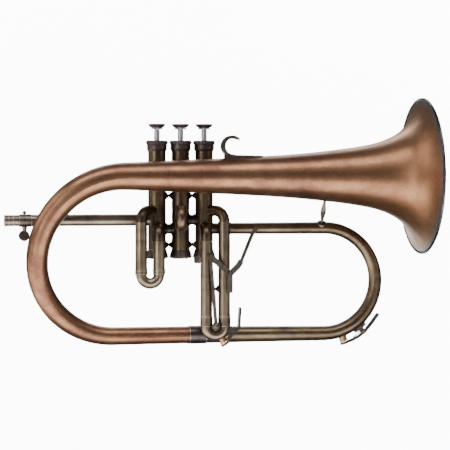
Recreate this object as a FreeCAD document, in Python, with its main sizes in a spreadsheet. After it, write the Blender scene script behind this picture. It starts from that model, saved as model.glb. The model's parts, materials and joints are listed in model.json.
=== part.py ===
import FreeCAD, Part
import math
import os
import re

import Sketcher
from FreeCAD import Placement, Rotation, Vector

# Three-valve flugelhorn, in millimetres.
# Origin: centre of the mouthpiece socket's mouth.  +X runs forward to the bell, +Z is up
# (the valve buttons), and the bell lies on the -Y side of the valves.

SIZES = {
    # valve cluster
    "first_valve_x": 147.1,
    "valve_pitch": 23.1,
    "casing_outer_r": 8.6,
    "casing_bore_r": 7.7,
    "casing_top_z": 73.0,
    "casing_bottom_z": -33.0,
    "high_level": 0.0,
    "low_level": -8.8,
    "passage_r": 4.4,
    "crossover_outer_r": 4.75,
    "stroke": 12.0,
    # caps
    "cap_flange_r": 10.5,
    "cap_skirt_r": 9.75,
    "cap_top_z": 76.7,
    "cap_flange_z": 73.2,
    "cap_skirt_z": 68.5,
    "cap_foot_z": 66.6,
    "cap_hole_r": 2.82,
    "bottom_cap_r": 10.9,
    "bottom_cap_top_z": -29.0,
    "bottom_cap_z": -37.9,
    "deep_cap_r": 10.0,
    "deep_cap_z": -42.5,
    "vent_r": 1.2,
    # pistons
    "piston_r": 7.65,
    "piston_top_z": 28.0,
    "piston_bottom_z": -15.5,
    "barrel_outer_r": 7.0,
    "barrel_inner_r": 6.2,
    "barrel_top_z": 70.0,
    "barrel_lid": 2.0,
    "slot_width": 3.8,
    "slot_bottom_z": 28.6,
    "slot_top_z": 46.5,
    "guide_z": 30.0,
    "guide_thick": 3.0,
    "guide_r": 5.8,
    "guide_ear": 3.0,
    "spigot_r": 1.6,
    "stem_r": 2.75,
    "button_z": 89.3,
    "button_r": 8.4,
    "button_foot_r": 6.5,
    "button_high": 3.6,
    "spring_r": 4.6,
    "spring_wire_r": 0.45,
    "spring_turns": 9,
    # valve slides
    "slide_y": -18.0,
    "port_r": 4.7,
    "knuckle_r": 5.3,
    "leg_outer_r": 5.75,
    "leg_bore_r": 5.25,
    "inner_leg_r": 5.2,
    "bow_bore_r": 4.7,
    "ferrule_r": 6.0,
    "ring_r": 6.05,
    "ring_high": 1.4,
    "upper_port_z": 8.8,
    "lower_port_z": -8.0,
    "upper_elbow_r": 10.4,
    "lower_elbow_r": 8.0,
    "lower_leg_top_z": -19.8,
    "first_bow_x": 137.9,
    "first_spread": 17.1,
    "first_leg_end_z": -47.8,
    "first_ferrule_end_z": -52.0,
    "third_bow_x": 201.26,
    "third_spread": 17.54,
    "third_leg_end_z": -93.1,
    "third_ferrule_end_z": -103.0,
    "second_turn": 7.0,
    "second_upper_z": 9.5,
    "second_spread": 14.8,
    "second_stub_end": 23.0,
    "second_bow_start": 30.0,
    # main tube
    "pipe_outer_r": 5.6,
    "pipe_bore_r": 5.05,
    "pipe_start_x": 14.0,
    "branch_start_r": 5.35,
    "bow_start_r": 5.9,
    "bow_end_r": 7.2,
    "branch_end_r": 8.3,
    "tube_wall": 0.5,
    "front_bow_x": 313.4,
    "branch_z": -112.3,
    "branch_drop": 0.8,
    "joint_x": 186.6,
    "tail_ferrule_r": 8.85,
    "tail_ferrule_x": 178.1,
    "tail_ferrule_long": 17.1,
    # bell
    "bell_y": -29.0,
    "bell_z": 42.3,
    "rim_x": 403.8,
    "lower_bow_r": 74.2,
    "bow_back_x": 30.3,
    "bell_wall": 0.6,
    "rim_bead_r": 75.1,
    "rim_wire_r": 1.4,
    # tuning shank and clamp
    "shank_r": 5.0,
    "shank_bore_r": 4.3,
    "shank_long": 62.0,
    "socket_r": 4.75,
    "socket_deep": 18.0,
    "head_r": 5.45,
    "head_long": 13.6,
    "groove_deep": 0.35,
    "collar_r": 6.05,
    "collar_long": 12.0,
    "collar_slit": 1.0,
    "lug_y": 8.2,
    "lug_long": 5.6,
    "lug_z": 5.2,
    "screw_x": 19.9,
    "screw_r": 1.4,
    "screw_hole_r": 1.45,
    "screw_ball_z": 7.4,
    "screw_neck_r": 2.8,
    "screw_nub_r": 1.9,
    "paddle_r": 5.3,
    "paddle_thick": 1.8,
    "paddle_z": -14.9,
    # stays
    "stay_foot_r": 4.2,
    "stay_waist_r": 1.35,
    "stay_high_z": 23.4,
    "stay_low_z": -24.2,
    "third_stay_z": -66.5,
    "brace_x": 310.4,
    # finger hook
    "hook_x": 215.4,
    "hook_z": 71.1,
    "hook_outer_r": 10.2,
    "hook_inner_r": 7.5,
    "hook_wide": 10.0,
    "hook_base_start_x": 208.5,
    "hook_base_end_x": 245.2,
    "hook_base_high_z": 63.2,
    "hook_base_low_z": 62.0,
    # third-slide trigger
    "lever_y": -27.2,
    "lever_thick": 2.4,
    "pivot_x": 214.35,
    "pivot_z": -51.5,
    "pin_x": 195.3,
    "pin_z": -34.9,
    "pin_r": 1.2,
    "eye_clear": 0.05,
    "rod_y": -24.9,
    "rod_thick": 1.6,
    "rod_wide": 3.4,
    "lever_wide": 5.4,
    "finger_thick": 2.0,
    "finger_wide": 8.8,
    "finger_y": -28.6,
    "pin_eye_r": 2.9,
    "ball_x": 200.9,
    "ball_z": -102.2,
    "stud_r": 1.5,
    "rod_eye_r": 2.7,
    "rod_ring_r": 4.0,
    "stud_head_r": 3.3,
    "bracket_wide": 5.5,
    "bracket_back_y": -21.0,
    "bracket_face_y": -25.6,
    "bracket_top_z": -48.6,
    "bracket_foot_z": -70.0,
    "screw_head_r": 2.5,
    # water keys
    "front_nipple_r": 3.9,
    "slide_nipple_r": 3.5,
    "nipple_bore_r": 1.3,
    "cork_high": 1.4,
    "cork_gap": 0.3,
    "cup_rim": 0.6,
    "nipple_clear": 0.5,
    "strap_wide": 4.2,
    "strap_thick": 2.4,
    "touch_wide": 7.6,
    "touch_thick": 2.0,
    "hub_r": 2.2,
    "key_pin_r": 0.9,
    "saddle_gap": 4.8,
    "saddle_wide": 7.2,
    "lug_wide": 4.8,
    "front_foot_long": 13.6,
    "slide_foot_long": 7.0,
}

HALF_TURN = 180.0
QUARTER = 90.0
OVERRUN = 2.0
UP = (0, 0, 1)
DOWN = (0, 0, -1)
TO_BELL = (1, 0, 0)
TO_MOUTH = (-1, 0, 0)
TO_RIGHT_SIDE = (0, -1, 0)

# Bell mandrel: distance along X behind the rim against outside radius.
BELL_STATIONS = [
    (277.0, 13.55), (199.9, 17.0), (152.9, 19.5), (121.3, 21.8), (89.5, 25.2), (57.5, 29.8),
    (41.4, 33.7), (25.2, 40.6), (17.1, 46.5), (10.8, 53.6), (5.8, 61.6), (2.3, 69.6), (0.0, 75.6),
]

os.makedirs("parts", exist_ok=True)
doc = FreeCAD.newDocument("flugelhorn")

sheet = doc.addObject("Spreadsheet::Sheet", "Sizes")
for row, (alias, value) in enumerate(SIZES.items(), start=1):
    sheet.set("A%d" % row, alias)
    sheet.set("B%d" % row, str(value))
    sheet.setAlias("B%d" % row, alias)
doc.recompute()

made = []


# ---------------------------------------------------------------- sheet and naming helpers

def mm(alias):
    """A driving size, read back from the sheet."""
    return float(sheet.get(alias))


def linked(text):
    """An expression whose size names point at the sheet."""
    return re.sub(r"[a-z][a-z_]+", lambda word: "Sizes." + word.group(0), text)


def bind(item, prop, text):
    item.setExpression(prop, linked(text))


def keep(label, item):
    """Name a finished sub-part and list it for export."""
    item.Label = label
    made.append(item)
    return item


def valve_x(number):
    return mm("first_valve_x") + (number - 1) * mm("valve_pitch")


def heading(azimuth):
    """Level direction, counted in degrees from +X towards +Y."""
    angle = math.radians(azimuth)
    return Vector(math.cos(angle), math.sin(angle), 0)


def facing(axis):
    """Rotation that takes local Z onto an axis."""
    return Rotation(Vector(0, 0, 1), Vector(*axis))


# ---------------------------------------------------------------- primitive helpers

def cylinder(radius, height, base, axis=UP):
    item = doc.addObject("Part::Cylinder", "Cylinder")
    bind(item, "Radius", radius)
    bind(item, "Height", height)
    item.Placement = Placement(Vector(*base), facing(axis))
    return item


def bar(radius, start, end):
    """Round bar between two points."""
    item = doc.addObject("Part::Cylinder", "Bar")
    bind(item, "Radius", radius)
    along = Vector(*end) - Vector(*start)
    item.Height = along.Length
    item.Placement = Placement(Vector(*start), facing(along))
    return item


def cone(first_r, second_r, start, end):
    item = doc.addObject("Part::Cone", "Cone")
    bind(item, "Radius1", first_r)
    bind(item, "Radius2", second_r)
    along = Vector(*end) - Vector(*start)
    item.Height = along.Length
    item.Placement = Placement(Vector(*start), facing(along))
    return item


def ball(radius, centre):
    item = doc.addObject("Part::Sphere", "Ball")
    bind(item, "Radius", radius)
    item.Placement = Placement(Vector(*centre), Rotation())
    return item


def block(length, width, height, corner):
    item = doc.addObject("Part::Box", "Block")
    bind(item, "Length", length)
    bind(item, "Width", width)
    bind(item, "Height", height)
    item.Placement = Placement(Vector(*corner), Rotation())
    return item


def bend(bend_r, tube_r, centre, start, normal, angle):
    """Part of a ring of round tube, swept about normal from the start direction."""
    item = doc.addObject("Part::Torus", "Bend")
    bind(item, "Radius1", bend_r)
    bind(item, "Radius2", tube_r)
    item.Angle3 = angle
    axis_x = Vector(*start)
    axis_z = Vector(*normal)
    item.Placement = Placement(Vector(*centre), Rotation(axis_x, axis_z.cross(axis_x), axis_z, "ZXY"))
    return item


def fuse(items):
    if len(items) == 1:
        return items[0]
    item = doc.addObject("Part::MultiFuse", "Fusion")
    item.Shapes = items
    return item


def cut(base, tool):
    item = doc.addObject("Part::Cut", "Cut")
    item.Base = base
    item.Tool = tool
    return item


def common(base, tool):
    item = doc.addObject("Part::Common", "Common")
    item.Base = base
    item.Tool = tool
    return item


def group(items):
    """Separate solids handled as one sub-part."""
    item = doc.addObject("Part::Compound", "Group")
    item.Links = items
    return item


def solid_feature(label, shape):
    item = doc.addObject("Part::Feature", "Formed")
    item.Shape = shape
    item.Label = label
    return item


# ---------------------------------------------------------------- sketched helpers

def origin_plane(body, role):
    return next(feature for feature in body.Origin.OriginFeatures if feature.Role == role)


def outline(body, role, corners):
    """Closed sketch whose corners are dimensioned from the origin by expressions."""
    sketch = body.newObject("Sketcher::SketchObject", "Outline")
    sketch.AttachmentSupport = [(origin_plane(body, role), "")]
    sketch.MapMode = "FlatFace"
    count = len(corners)
    spots = [Vector(3 * index + 1, index * index + 1, 0) for index in range(count)]
    for index in range(count):
        sketch.addGeometry(Part.LineSegment(spots[index], spots[(index + 1) % count]))
    for index in range(count):
        sketch.addConstraint(Sketcher.Constraint("Coincident", index, 2, (index + 1) % count, 1))
    for index, corner in enumerate(corners):
        for kind, text in zip(("DistanceX", "DistanceY"), corner):
            number = sketch.addConstraint(Sketcher.Constraint(kind, -1, 1, index, 1, 1.0))
            sketch.setExpression("Constraints[%d]" % number, linked(text))
    return sketch


def turned(corners, base=(0, 0, 0), axis=UP):
    """Body of revolution from (radius, height) corners about its own Z axis."""
    body = doc.addObject("PartDesign::Body", "Turned")
    sketch = outline(body, "XZ_Plane", corners)
    revolution = body.newObject("PartDesign::Revolution", "Revolution")
    revolution.Profile = sketch
    revolution.ReferenceAxis = (sketch, ["V_Axis"])
    revolution.Angle = 360
    body.Tip = revolution
    body.Placement = Placement(Vector(*base), facing(axis))
    return body


def plate(corners, thickness, base, rotation=None):
    """Flat plate from (x, z) corners, centred on its own XZ plane."""
    body = doc.addObject("PartDesign::Body", "Plate")
    sketch = outline(body, "XZ_Plane", corners)
    pad = body.newObject("PartDesign::Pad", "Pad")
    pad.Profile = sketch
    pad.SideType = "Symmetric"
    bind(pad, "Length", thickness)
    body.Tip = pad
    body.Placement = Placement(Vector(*base), rotation or Rotation())
    return body


# ---------------------------------------------------------------- tapering bent tubes

def smooth(stations, at):
    """Monotone cubic reading of a rising or falling list of (position, value)."""
    spans = [b[0] - a[0] for a, b in zip(stations, stations[1:])]
    rates = [(b[1] - a[1]) / span for a, b, span in zip(stations, stations[1:], spans)]
    slopes = [rates[0]]
    for before, after in zip(rates, rates[1:]):
        slopes.append(0.0 if before * after <= 0 else 2 * before * after / (before + after))
    slopes.append(rates[-1])
    last = len(spans) - 1
    index = min(last, max(0, sum(1 for station in stations[1:-1] if station[0] <= at)))
    share = (at - stations[index][0]) / spans[index]
    rest = 1 - share
    return (stations[index][1] * rest * rest * (1 + 2 * share)
            + stations[index + 1][1] * share * share * (3 - 2 * share)
            + spans[index] * (slopes[index] * rest * rest * share
                              - slopes[index + 1] * share * share * rest))


def ring_wire(spot, direction, side, radius):
    """Circle square to a direction, with its seam towards side."""
    circle = Part.Circle(spot, direction, radius)
    circle.XAxis = side
    return Part.Wire(circle.toShape())


def tapering_tube(sections, side):
    """Loft through (spot, direction, radius) sections; two sections make a straight cone."""
    wires = [ring_wire(spot, direction, side, radius) for spot, direction, radius in sections]
    return Part.makeLoft(wires, True, len(sections) == 2)


# ---------------------------------------------------------------- bell and its bow

BOW_RISE = Vector(0, mm("bell_y"), mm("bell_z") - mm("branch_z"))
BOW_UP = Vector(BOW_RISE).normalize()
BOW_SIDE = Vector(1, 0, 0).cross(BOW_UP)
UPPER_BOW_R = BOW_RISE.Length - mm("lower_bow_r")
BOW_STEPS = 12
FLARE_STEPS = 26


def bell_spot(along, up):
    """Point in the tilted plane that holds the whole bell and its bow."""
    return Vector(along, 0, mm("branch_z")) + BOW_UP * up


def bell_line():
    """Centre line of the bell as (length so far, spot, direction), tail first."""
    low_r = mm("lower_bow_r")
    low_x = mm("bow_back_x") + low_r
    high_x = mm("bow_back_x") + UPPER_BOW_R
    line = []
    travelled = 0.0
    travelled = mm("joint_x") - low_x
    line.append((0.0, bell_spot(mm("joint_x"), 0), Vector(-1, 0, 0)))
    for step in range(BOW_STEPS):
        angle = math.radians(QUARTER * step / BOW_STEPS)
        spot = bell_spot(low_x - low_r * math.sin(angle), low_r - low_r * math.cos(angle))
        direction = Vector(-math.cos(angle), 0, 0) + BOW_UP * math.sin(angle)
        line.append((travelled + low_r * angle, spot, direction))
    travelled += low_r * math.radians(QUARTER)
    for step in range(BOW_STEPS):
        angle = math.radians(QUARTER * step / BOW_STEPS)
        spot = bell_spot(high_x - UPPER_BOW_R * math.cos(angle),
                         low_r + UPPER_BOW_R * math.sin(angle))
        direction = Vector(math.sin(angle), 0, 0) + BOW_UP * math.cos(angle)
        line.append((travelled + UPPER_BOW_R * angle, spot, direction))
    travelled += UPPER_BOW_R * math.radians(QUARTER)
    total = mm("rim_x") - high_x
    for step in range(FLARE_STEPS + 1):
        behind = total * (1 - step / FLARE_STEPS) ** 2
        spot = bell_spot(mm("rim_x") - behind, low_r + UPPER_BOW_R)
        line.append((travelled + total - behind, spot, Vector(1, 0, 0)))
    return line


def bell_radii(line):
    """Outside radius against length along the bell."""
    whole = line[-1][0]
    tail_r = mm("branch_end_r")
    bow_start = mm("joint_x") - mm("bow_back_x") - mm("lower_bow_r")
    quarter = mm("lower_bow_r") * math.radians(QUARTER)
    stations = [(0.0, tail_r), (bow_start, 8.75)]
    stations += [(bow_start + quarter * 0.5, 9.85), (bow_start + quarter, 10.4)]
    upper_quarter = UPPER_BOW_R * math.radians(QUARTER)
    stations += [(bow_start + quarter + upper_quarter * 0.5, 11.55)]
    stations += [(bow_start + quarter + upper_quarter * 0.9, 12.75)]
    stations += [(whole - behind, radius) for behind, radius in BELL_STATIONS]
    return stations


def bell_sections(wall):
    line = bell_line()
    stations = bell_radii(line)
    sections = []
    probe = 0.4
    for travelled, spot, direction in line:
        radius = smooth(stations, travelled)
        low = max(0.0, travelled - probe)
        high = min(line[-1][0], travelled + probe)
        slope = (smooth(stations, high) - smooth(stations, low)) / (high - low)
        sections.append((spot, direction, radius - wall * math.sqrt(1 + slope * slope)))
    return sections


def past_ends(sections):
    """The same sections with one more beyond each end, for a clean cut."""
    first_spot, first_direction, first_r = sections[0]
    last_spot, last_direction, last_r = sections[-1]
    before = (first_spot - first_direction * OVERRUN, first_direction, first_r)
    growth = (last_r - sections[-2][2]) / (last_spot - sections[-2][0]).Length
    after = (last_spot + last_direction, last_direction, last_r + growth)
    return [before] + sections + [after]


def turned_flare(sections):
    """Straight flaring part of the bell as a solid of revolution."""
    first = sections[0][0]
    last = sections[-1][0]
    edge_spots = [spot + Vector(0, 0, radius) for spot, direction, radius in sections]
    curve = Part.BSplineCurve()
    curve.interpolate(edge_spots)
    edges = [Part.LineSegment(first, edge_spots[0]).toShape(), curve.toShape(),
             Part.LineSegment(edge_spots[-1], last).toShape(), Part.LineSegment(last, first).toShape()]
    return Part.Face(Part.Wire(edges)).revolve(first, Vector(1, 0, 0), 360)


def bell_solid(sections, tail_pieces):
    """Tail, two quarter bows and flare joined end to end."""
    bow_start = tail_pieces
    middle = bow_start + BOW_STEPS
    flare_start = middle + BOW_STEPS
    tail = [tapering_tube(sections[index:index + 2], BOW_SIDE) for index in range(bow_start)]
    lower = tapering_tube(sections[bow_start:middle + 1], BOW_SIDE)
    upper = tapering_tube(sections[middle:flare_start + 1], BOW_SIDE)
    return turned_flare(sections[flare_start:]).fuse([upper, lower] + tail)


bell_outside = bell_solid(bell_sections(0.0), 1)
bell_inside = bell_solid(past_ends(bell_sections(mm("bell_wall"))), 2)
keep("bell", solid_feature("bell", bell_outside.cut(bell_inside)))
bell_core = solid_feature("bell_outside", bell_outside)

bead_centre = (mm("rim_x"), mm("bell_y"), mm("bell_z"))
bead = bend("rim_bead_r", "rim_wire_r", bead_centre, (0, 0, 1), (1, 0, 0), 360)
keep("bell_rim", cut(bead, bell_core))


# ---------------------------------------------------------------- lower branch, front bow, upper branch

low_joint = Vector(mm("joint_x") + 0.2, 0, mm("branch_z"))
low_turn = Vector(mm("front_bow_x"), 0, mm("branch_z") - mm("branch_drop"))
high_turn = Vector(mm("front_bow_x"), 0, mm("low_level"))
branch_outside = cone("bow_end_r", "branch_end_r", low_turn, low_joint)
branch_inside = cone("bow_end_r - tube_wall", "branch_end_r - tube_wall", low_turn, low_joint)
keep("lower_branch", cut(branch_outside, branch_inside))

tail_end = Vector(mm("tail_ferrule_x"), 0, mm("branch_z"))
tail_sleeve = cylinder("tail_ferrule_r", "tail_ferrule_long", tail_end, TO_BELL)
tail_hole = cylinder("branch_end_r - tube_wall", "tail_ferrule_long", tail_end, TO_BELL)
keep("bell_ferrule", cut(tail_sleeve, fuse([tail_hole, bell_core, branch_outside])))


def front_bow_sections(wall):
    bow_r = (high_turn.z - low_turn.z) / 2
    centre = (low_turn + high_turn) * 0.5
    steps = 20
    sections = []
    for step in range(steps + 1):
        share = step / steps
        angle = math.pi * share
        spot = centre + Vector(math.sin(angle), 0, math.cos(angle)) * bow_r
        direction = Vector(math.cos(angle), 0, -math.sin(angle))
        radius = mm("bow_start_r") + (mm("bow_end_r") - mm("bow_start_r")) * share
        sections.append((spot, direction, radius - wall))
    return sections


bow_outside = tapering_tube(front_bow_sections(0.0), Vector(0, 1, 0))
bow_inside = tapering_tube(past_ends(front_bow_sections(mm("tube_wall"))), Vector(0, 1, 0))
bow_tube = solid_feature("front_bow_tube", bow_outside.cut(bow_inside))
front_seat = Vector(333.7, 0, -120.7)
front_way = (front_seat - (low_turn + high_turn) * 0.5).normalize()
keep("front_bow", cut(bow_tube, bar("nipple_bore_r", front_seat - front_way * 8.0, front_seat)))
bow_core = solid_feature("front_bow_outside", bow_outside)

third_axis = Vector(valve_x(3), 0, mm("low_level"))
upper_outside = cone("branch_start_r", "bow_start_r", third_axis, high_turn)
upper_inside = cone("branch_start_r - tube_wall", "bow_start_r - tube_wall", third_axis, high_turn)
third_barrel = cylinder("casing_outer_r", "casing_top_z - casing_bottom_z",
                        (valve_x(3), 0, mm("casing_bottom_z")))
keep("upper_branch", cut(upper_outside, fuse([upper_inside, third_barrel])))


# ---------------------------------------------------------------- valve casings

def casing_body(number, radius):
    """Plain solid of a casing's outside or bore, full height."""
    return cylinder(radius, "casing_top_z - casing_bottom_z", (valve_x(number), 0, mm("casing_bottom_z")))


def leg_spot(bow_x, spread, side):
    """Where a vertical slide leg stands, on the left (-1) or right (+1) of its bow."""
    return Vector(mm(bow_x) + side * mm(spread) / 2, mm("slide_y"), 0)


def azimuth_to(number, spot):
    return math.degrees(math.atan2(spot.y, spot.x - valve_x(number)))


first_left = leg_spot("first_bow_x", "first_spread", -1)
first_right = leg_spot("first_bow_x", "first_spread", 1)
third_left = leg_spot("third_bow_x", "third_spread", -1)
third_right = leg_spot("third_bow_x", "third_spread", 1)
second_azimuth = 270.0 - mm("second_turn")
second_lower_z = mm("second_upper_z") - mm("second_spread")

# (azimuth, level, radius name) of every port, casing by casing
PORTS = {
    1: [(HALF_TURN, mm("high_level"), "port_r"), (0, mm("low_level"), "passage_r"),
        (azimuth_to(1, first_left), mm("upper_port_z"), "port_r"),
        (azimuth_to(1, first_right), mm("lower_port_z"), "port_r")],
    2: [(HALF_TURN, mm("low_level"), "passage_r"), (0, mm("high_level"), "passage_r"),
        (second_azimuth, mm("second_upper_z"), "port_r"),
        (second_azimuth, second_lower_z, "port_r")],
    3: [(HALF_TURN, mm("high_level"), "passage_r"), (0, mm("low_level"), "port_r"),
        (azimuth_to(3, third_right), mm("upper_port_z"), "port_r"),
        (azimuth_to(3, third_left), mm("lower_port_z"), "port_r")],
}

for number, ports in PORTS.items():
    openings = [casing_body(number, "casing_bore_r")]
    for azimuth, level, radius in ports:
        axis_spot = Vector(valve_x(number), 0, level)
        outer_spot = axis_spot + heading(azimuth) * (mm("casing_outer_r") + OVERRUN)
        openings.append(bar(radius, axis_spot, outer_spot))
    keep("valve_casing_%d" % number, cut(casing_body(number, "casing_outer_r"), fuse(openings)))

TOP_CAP = [
    ("casing_outer_r", "cap_foot_z"), ("casing_outer_r + 0.5", "cap_foot_z"),
    ("cap_skirt_r", "cap_skirt_z"), ("cap_skirt_r", "cap_flange_z - 0.4"),
    ("cap_flange_r", "cap_flange_z"), ("cap_flange_r", "cap_top_z - 0.5"),
    ("cap_flange_r - 0.5", "cap_top_z"), ("cap_hole_r", "cap_top_z"),
    ("cap_hole_r", "cap_top_z - 1.6"), ("casing_bore_r", "cap_top_z - 1.6"),
    ("casing_bore_r", "casing_top_z"), ("casing_outer_r", "casing_top_z"),
]
BOTTOM_CAP = [
    ("casing_outer_r", "bottom_cap_top_z"), ("casing_outer_r + 0.4", "bottom_cap_top_z"),
    ("bottom_cap_r", "bottom_cap_z + 2.6"), ("bottom_cap_r", "bottom_cap_z + 1.6"),
    ("bottom_cap_r - 0.9", "bottom_cap_z + 0.6"), ("bottom_cap_r - 4", "bottom_cap_z"),
    ("vent_r", "bottom_cap_z"), ("vent_r", "bottom_cap_z + 1.5"),
    ("casing_bore_r", "bottom_cap_z + 2.2"), ("casing_bore_r", "casing_bottom_z"),
    ("casing_outer_r", "casing_bottom_z"),
]
DEEP_CAP = [
    ("casing_outer_r", "bottom_cap_top_z"), ("casing_outer_r + 0.4", "bottom_cap_top_z"),
    ("bottom_cap_r", "bottom_cap_z + 2.6"), ("bottom_cap_r", "bottom_cap_z + 1.6"),
    ("deep_cap_r", "bottom_cap_z + 0.8"), ("deep_cap_r", "deep_cap_z + 0.7"),
    ("deep_cap_r - 0.7", "deep_cap_z"), ("vent_r", "deep_cap_z"),
    ("vent_r", "deep_cap_z + 1.5"), ("casing_bore_r", "deep_cap_z + 1.5"),
    ("casing_bore_r", "casing_bottom_z"), ("casing_outer_r", "casing_bottom_z"),
]
BOTTOM_CAPS = {1: BOTTOM_CAP, 2: BOTTOM_CAP, 3: DEEP_CAP}

for number in (1, 2, 3):
    keep("top_cap_%d" % number, turned(TOP_CAP, (valve_x(number), 0, 0)))
for number in (1, 2, 3):
    keep("bottom_cap_%d" % number, turned(BOTTOM_CAPS[number], (valve_x(number), 0, 0)))


# ---------------------------------------------------------------- crossover tubes and turned stays

crossovers = []
for left, level in ((1, "low_level"), (2, "high_level")):
    start = (valve_x(left), 0, mm(level))
    end = (valve_x(left + 1), 0, mm(level))
    walls = [casing_body(left, "casing_outer_r"), casing_body(left + 1, "casing_outer_r")]
    hollow = fuse([bar("passage_r", start, end)] + walls)
    crossovers.append(cut(bar("crossover_outer_r", start, end), hollow))
keep("crossover_tubes", group(crossovers))


def waisted(start, end):
    """Stay that is wide at both feet and narrow at its waist."""
    middle = (Vector(*start) + Vector(*end)) * 0.5
    return fuse([cone("stay_foot_r", "stay_waist_r", start, middle),
                 cone("stay_waist_r", "stay_foot_r", middle, end)])


stays = []
for left in (1, 2):
    for level in ("stay_high_z", "stay_low_z"):
        face = mm("casing_outer_r") - 0.6
        start = (valve_x(left) + face, 0, mm(level))
        end = (valve_x(left + 1) - face, 0, mm(level))
        walls = fuse([casing_body(left, "casing_outer_r"), casing_body(left + 1, "casing_outer_r")])
        stays.append(cut(waisted(start, end), walls))


def leg_solid(spot, radius, top, bottom):
    return bar(radius, (spot.x, spot.y, top), (spot.x, spot.y, bottom))


leg_face = mm("leg_outer_r") - 0.8
stay_start = third_left + Vector(leg_face, 0, mm("third_stay_z"))
stay_end = third_right + Vector(-leg_face, 0, mm("third_stay_z"))
third_legs = fuse([leg_solid(spot, "leg_outer_r", 0, mm("third_leg_end_z"))
                   for spot in (third_left, third_right)])
stays.append(cut(waisted(stay_start, stay_end), third_legs))
keep("turned_stays", group(stays))


# ---------------------------------------------------------------- valve slides

def knuckle(number, spot, level, elbow_r, radius):
    """Run of tube from a casing port out to the top of a vertical leg."""
    axis_spot = Vector(valve_x(number), 0, level)
    level_spot = Vector(spot.x, spot.y, level)
    outward = (level_spot - axis_spot).normalize()
    bend_start = level_spot - outward * elbow_r
    centre = bend_start - Vector(0, 0, elbow_r)
    elbow_name = "upper_elbow_r" if elbow_r == mm("upper_elbow_r") else "lower_elbow_r"
    normal = Vector(0, 0, 1).cross(outward)
    elbow = bend(elbow_name, radius, centre, UP, normal, QUARTER)
    leg_top = Vector(spot.x, spot.y, level - elbow_r)
    pieces = [bar(radius, axis_spot, bend_start), elbow]
    if level < 0:
        pieces.append(bar(radius, leg_top, (spot.x, spot.y, mm("lower_leg_top_z"))))
    return fuse(pieces)


leadpipe_core = bar("pipe_outer_r", (mm("pipe_start_x"), 0, 0), (valve_x(1), 0, 0))
knuckles = []
for number, spot, level, elbow_r in (
        (1, first_left, mm("upper_port_z"), mm("upper_elbow_r")),
        (1, first_right, mm("lower_port_z"), mm("lower_elbow_r")),
        (3, third_right, mm("upper_port_z"), mm("upper_elbow_r")),
        (3, third_left, mm("lower_port_z"), mm("lower_elbow_r"))):
    outside = knuckle(number, spot, level, elbow_r, "knuckle_r")
    inside = knuckle(number, spot, level, elbow_r, "port_r")
    tools = [inside, casing_body(number, "casing_outer_r")]
    if spot == first_left:
        tools.append(leadpipe_core)
    knuckles.append(cut(outside, fuse(tools)))
keep("slide_knuckles", group(knuckles))


def outer_leg(spot, top, end_alias):
    """Fixed slide leg with a raised ring at its top, standing on its bottom end."""
    length = "(%f - %s)" % (top, end_alias)
    corners = [
        ("leg_bore_r", "0"), ("leg_outer_r", "0"), ("leg_outer_r", length + " - ring_high - 0.2"),
        ("ring_r", length + " - ring_high"), ("ring_r", length), ("leg_bore_r", length),
    ]
    return turned(corners, (spot.x, spot.y, mm(end_alias)))


upper_leg_top = mm("upper_port_z") - mm("upper_elbow_r")
lower_leg_top = mm("lower_leg_top_z")
keep("slide_1_outer_legs", group([outer_leg(first_left, upper_leg_top, "first_leg_end_z"),
                                  outer_leg(first_right, lower_leg_top, "first_leg_end_z")]))
keep("slide_3_outer_legs", group([outer_leg(third_left, lower_leg_top, "third_leg_end_z"),
                                  outer_leg(third_right, upper_leg_top, "third_leg_end_z")]))


slide_seat = Vector(209.6, mm("slide_y"), -118.0)
slide_way = Vector(0.537, 0, -0.843).normalize()
slide_drain = bar("nipple_bore_r", slide_seat - slide_way * 6.0, slide_seat)


def vertical_slide(number, left, right, left_top, right_top, spread, leg_end, ferrule_end, drain=None):
    """Bow with its ferrules, and the two inner legs that run in the outer legs."""
    middle = (left + right) * 0.5
    ends = [Vector(spot.x, spot.y, mm(leg_end)) for spot in (left, right)]
    turn = Vector(middle.x, middle.y, mm(ferrule_end))
    bow_parts = []
    for radius in ("inner_leg_r", "bow_bore_r"):
        bow_parts.append(bend(spread + " / 2", radius, turn, TO_MOUTH, (0, -1, 0), HALF_TURN))
    bow = cut(bow_parts[0], fuse([bow_parts[1]] + ([drain] if drain else [])))
    sleeves = []
    for end in ends:
        long = "(%s - %s)" % (leg_end, ferrule_end)
        sleeves.append(cut(cylinder("ferrule_r", long, end, DOWN),
                           cylinder("inner_leg_r", long, end, DOWN)))
    keep("slide_%d_bow" % number, group([bow] + sleeves))
    legs = []
    for spot, top in ((left, left_top), (right, right_top)):
        start = (spot.x, spot.y, mm(ferrule_end))
        end = (spot.x, spot.y, top)
        legs.append(cut(bar("inner_leg_r", start, end), bar("bow_bore_r", start, end)))
    keep("slide_%d_inner_legs" % number, group(legs))


LEG_GAP = 1.2
vertical_slide(1, first_left, first_right, upper_leg_top - LEG_GAP, lower_leg_top - LEG_GAP,
               "first_spread", "first_leg_end_z", "first_ferrule_end_z")
vertical_slide(3, third_left, third_right, lower_leg_top - LEG_GAP, upper_leg_top - LEG_GAP,
               "third_spread", "third_leg_end_z", "third_ferrule_end_z", slide_drain)

second_out = heading(second_azimuth)
second_levels = (mm("second_upper_z"), second_lower_z)


def second_spot(distance, level):
    return Vector(valve_x(2), 0, level) + second_out * distance


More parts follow.
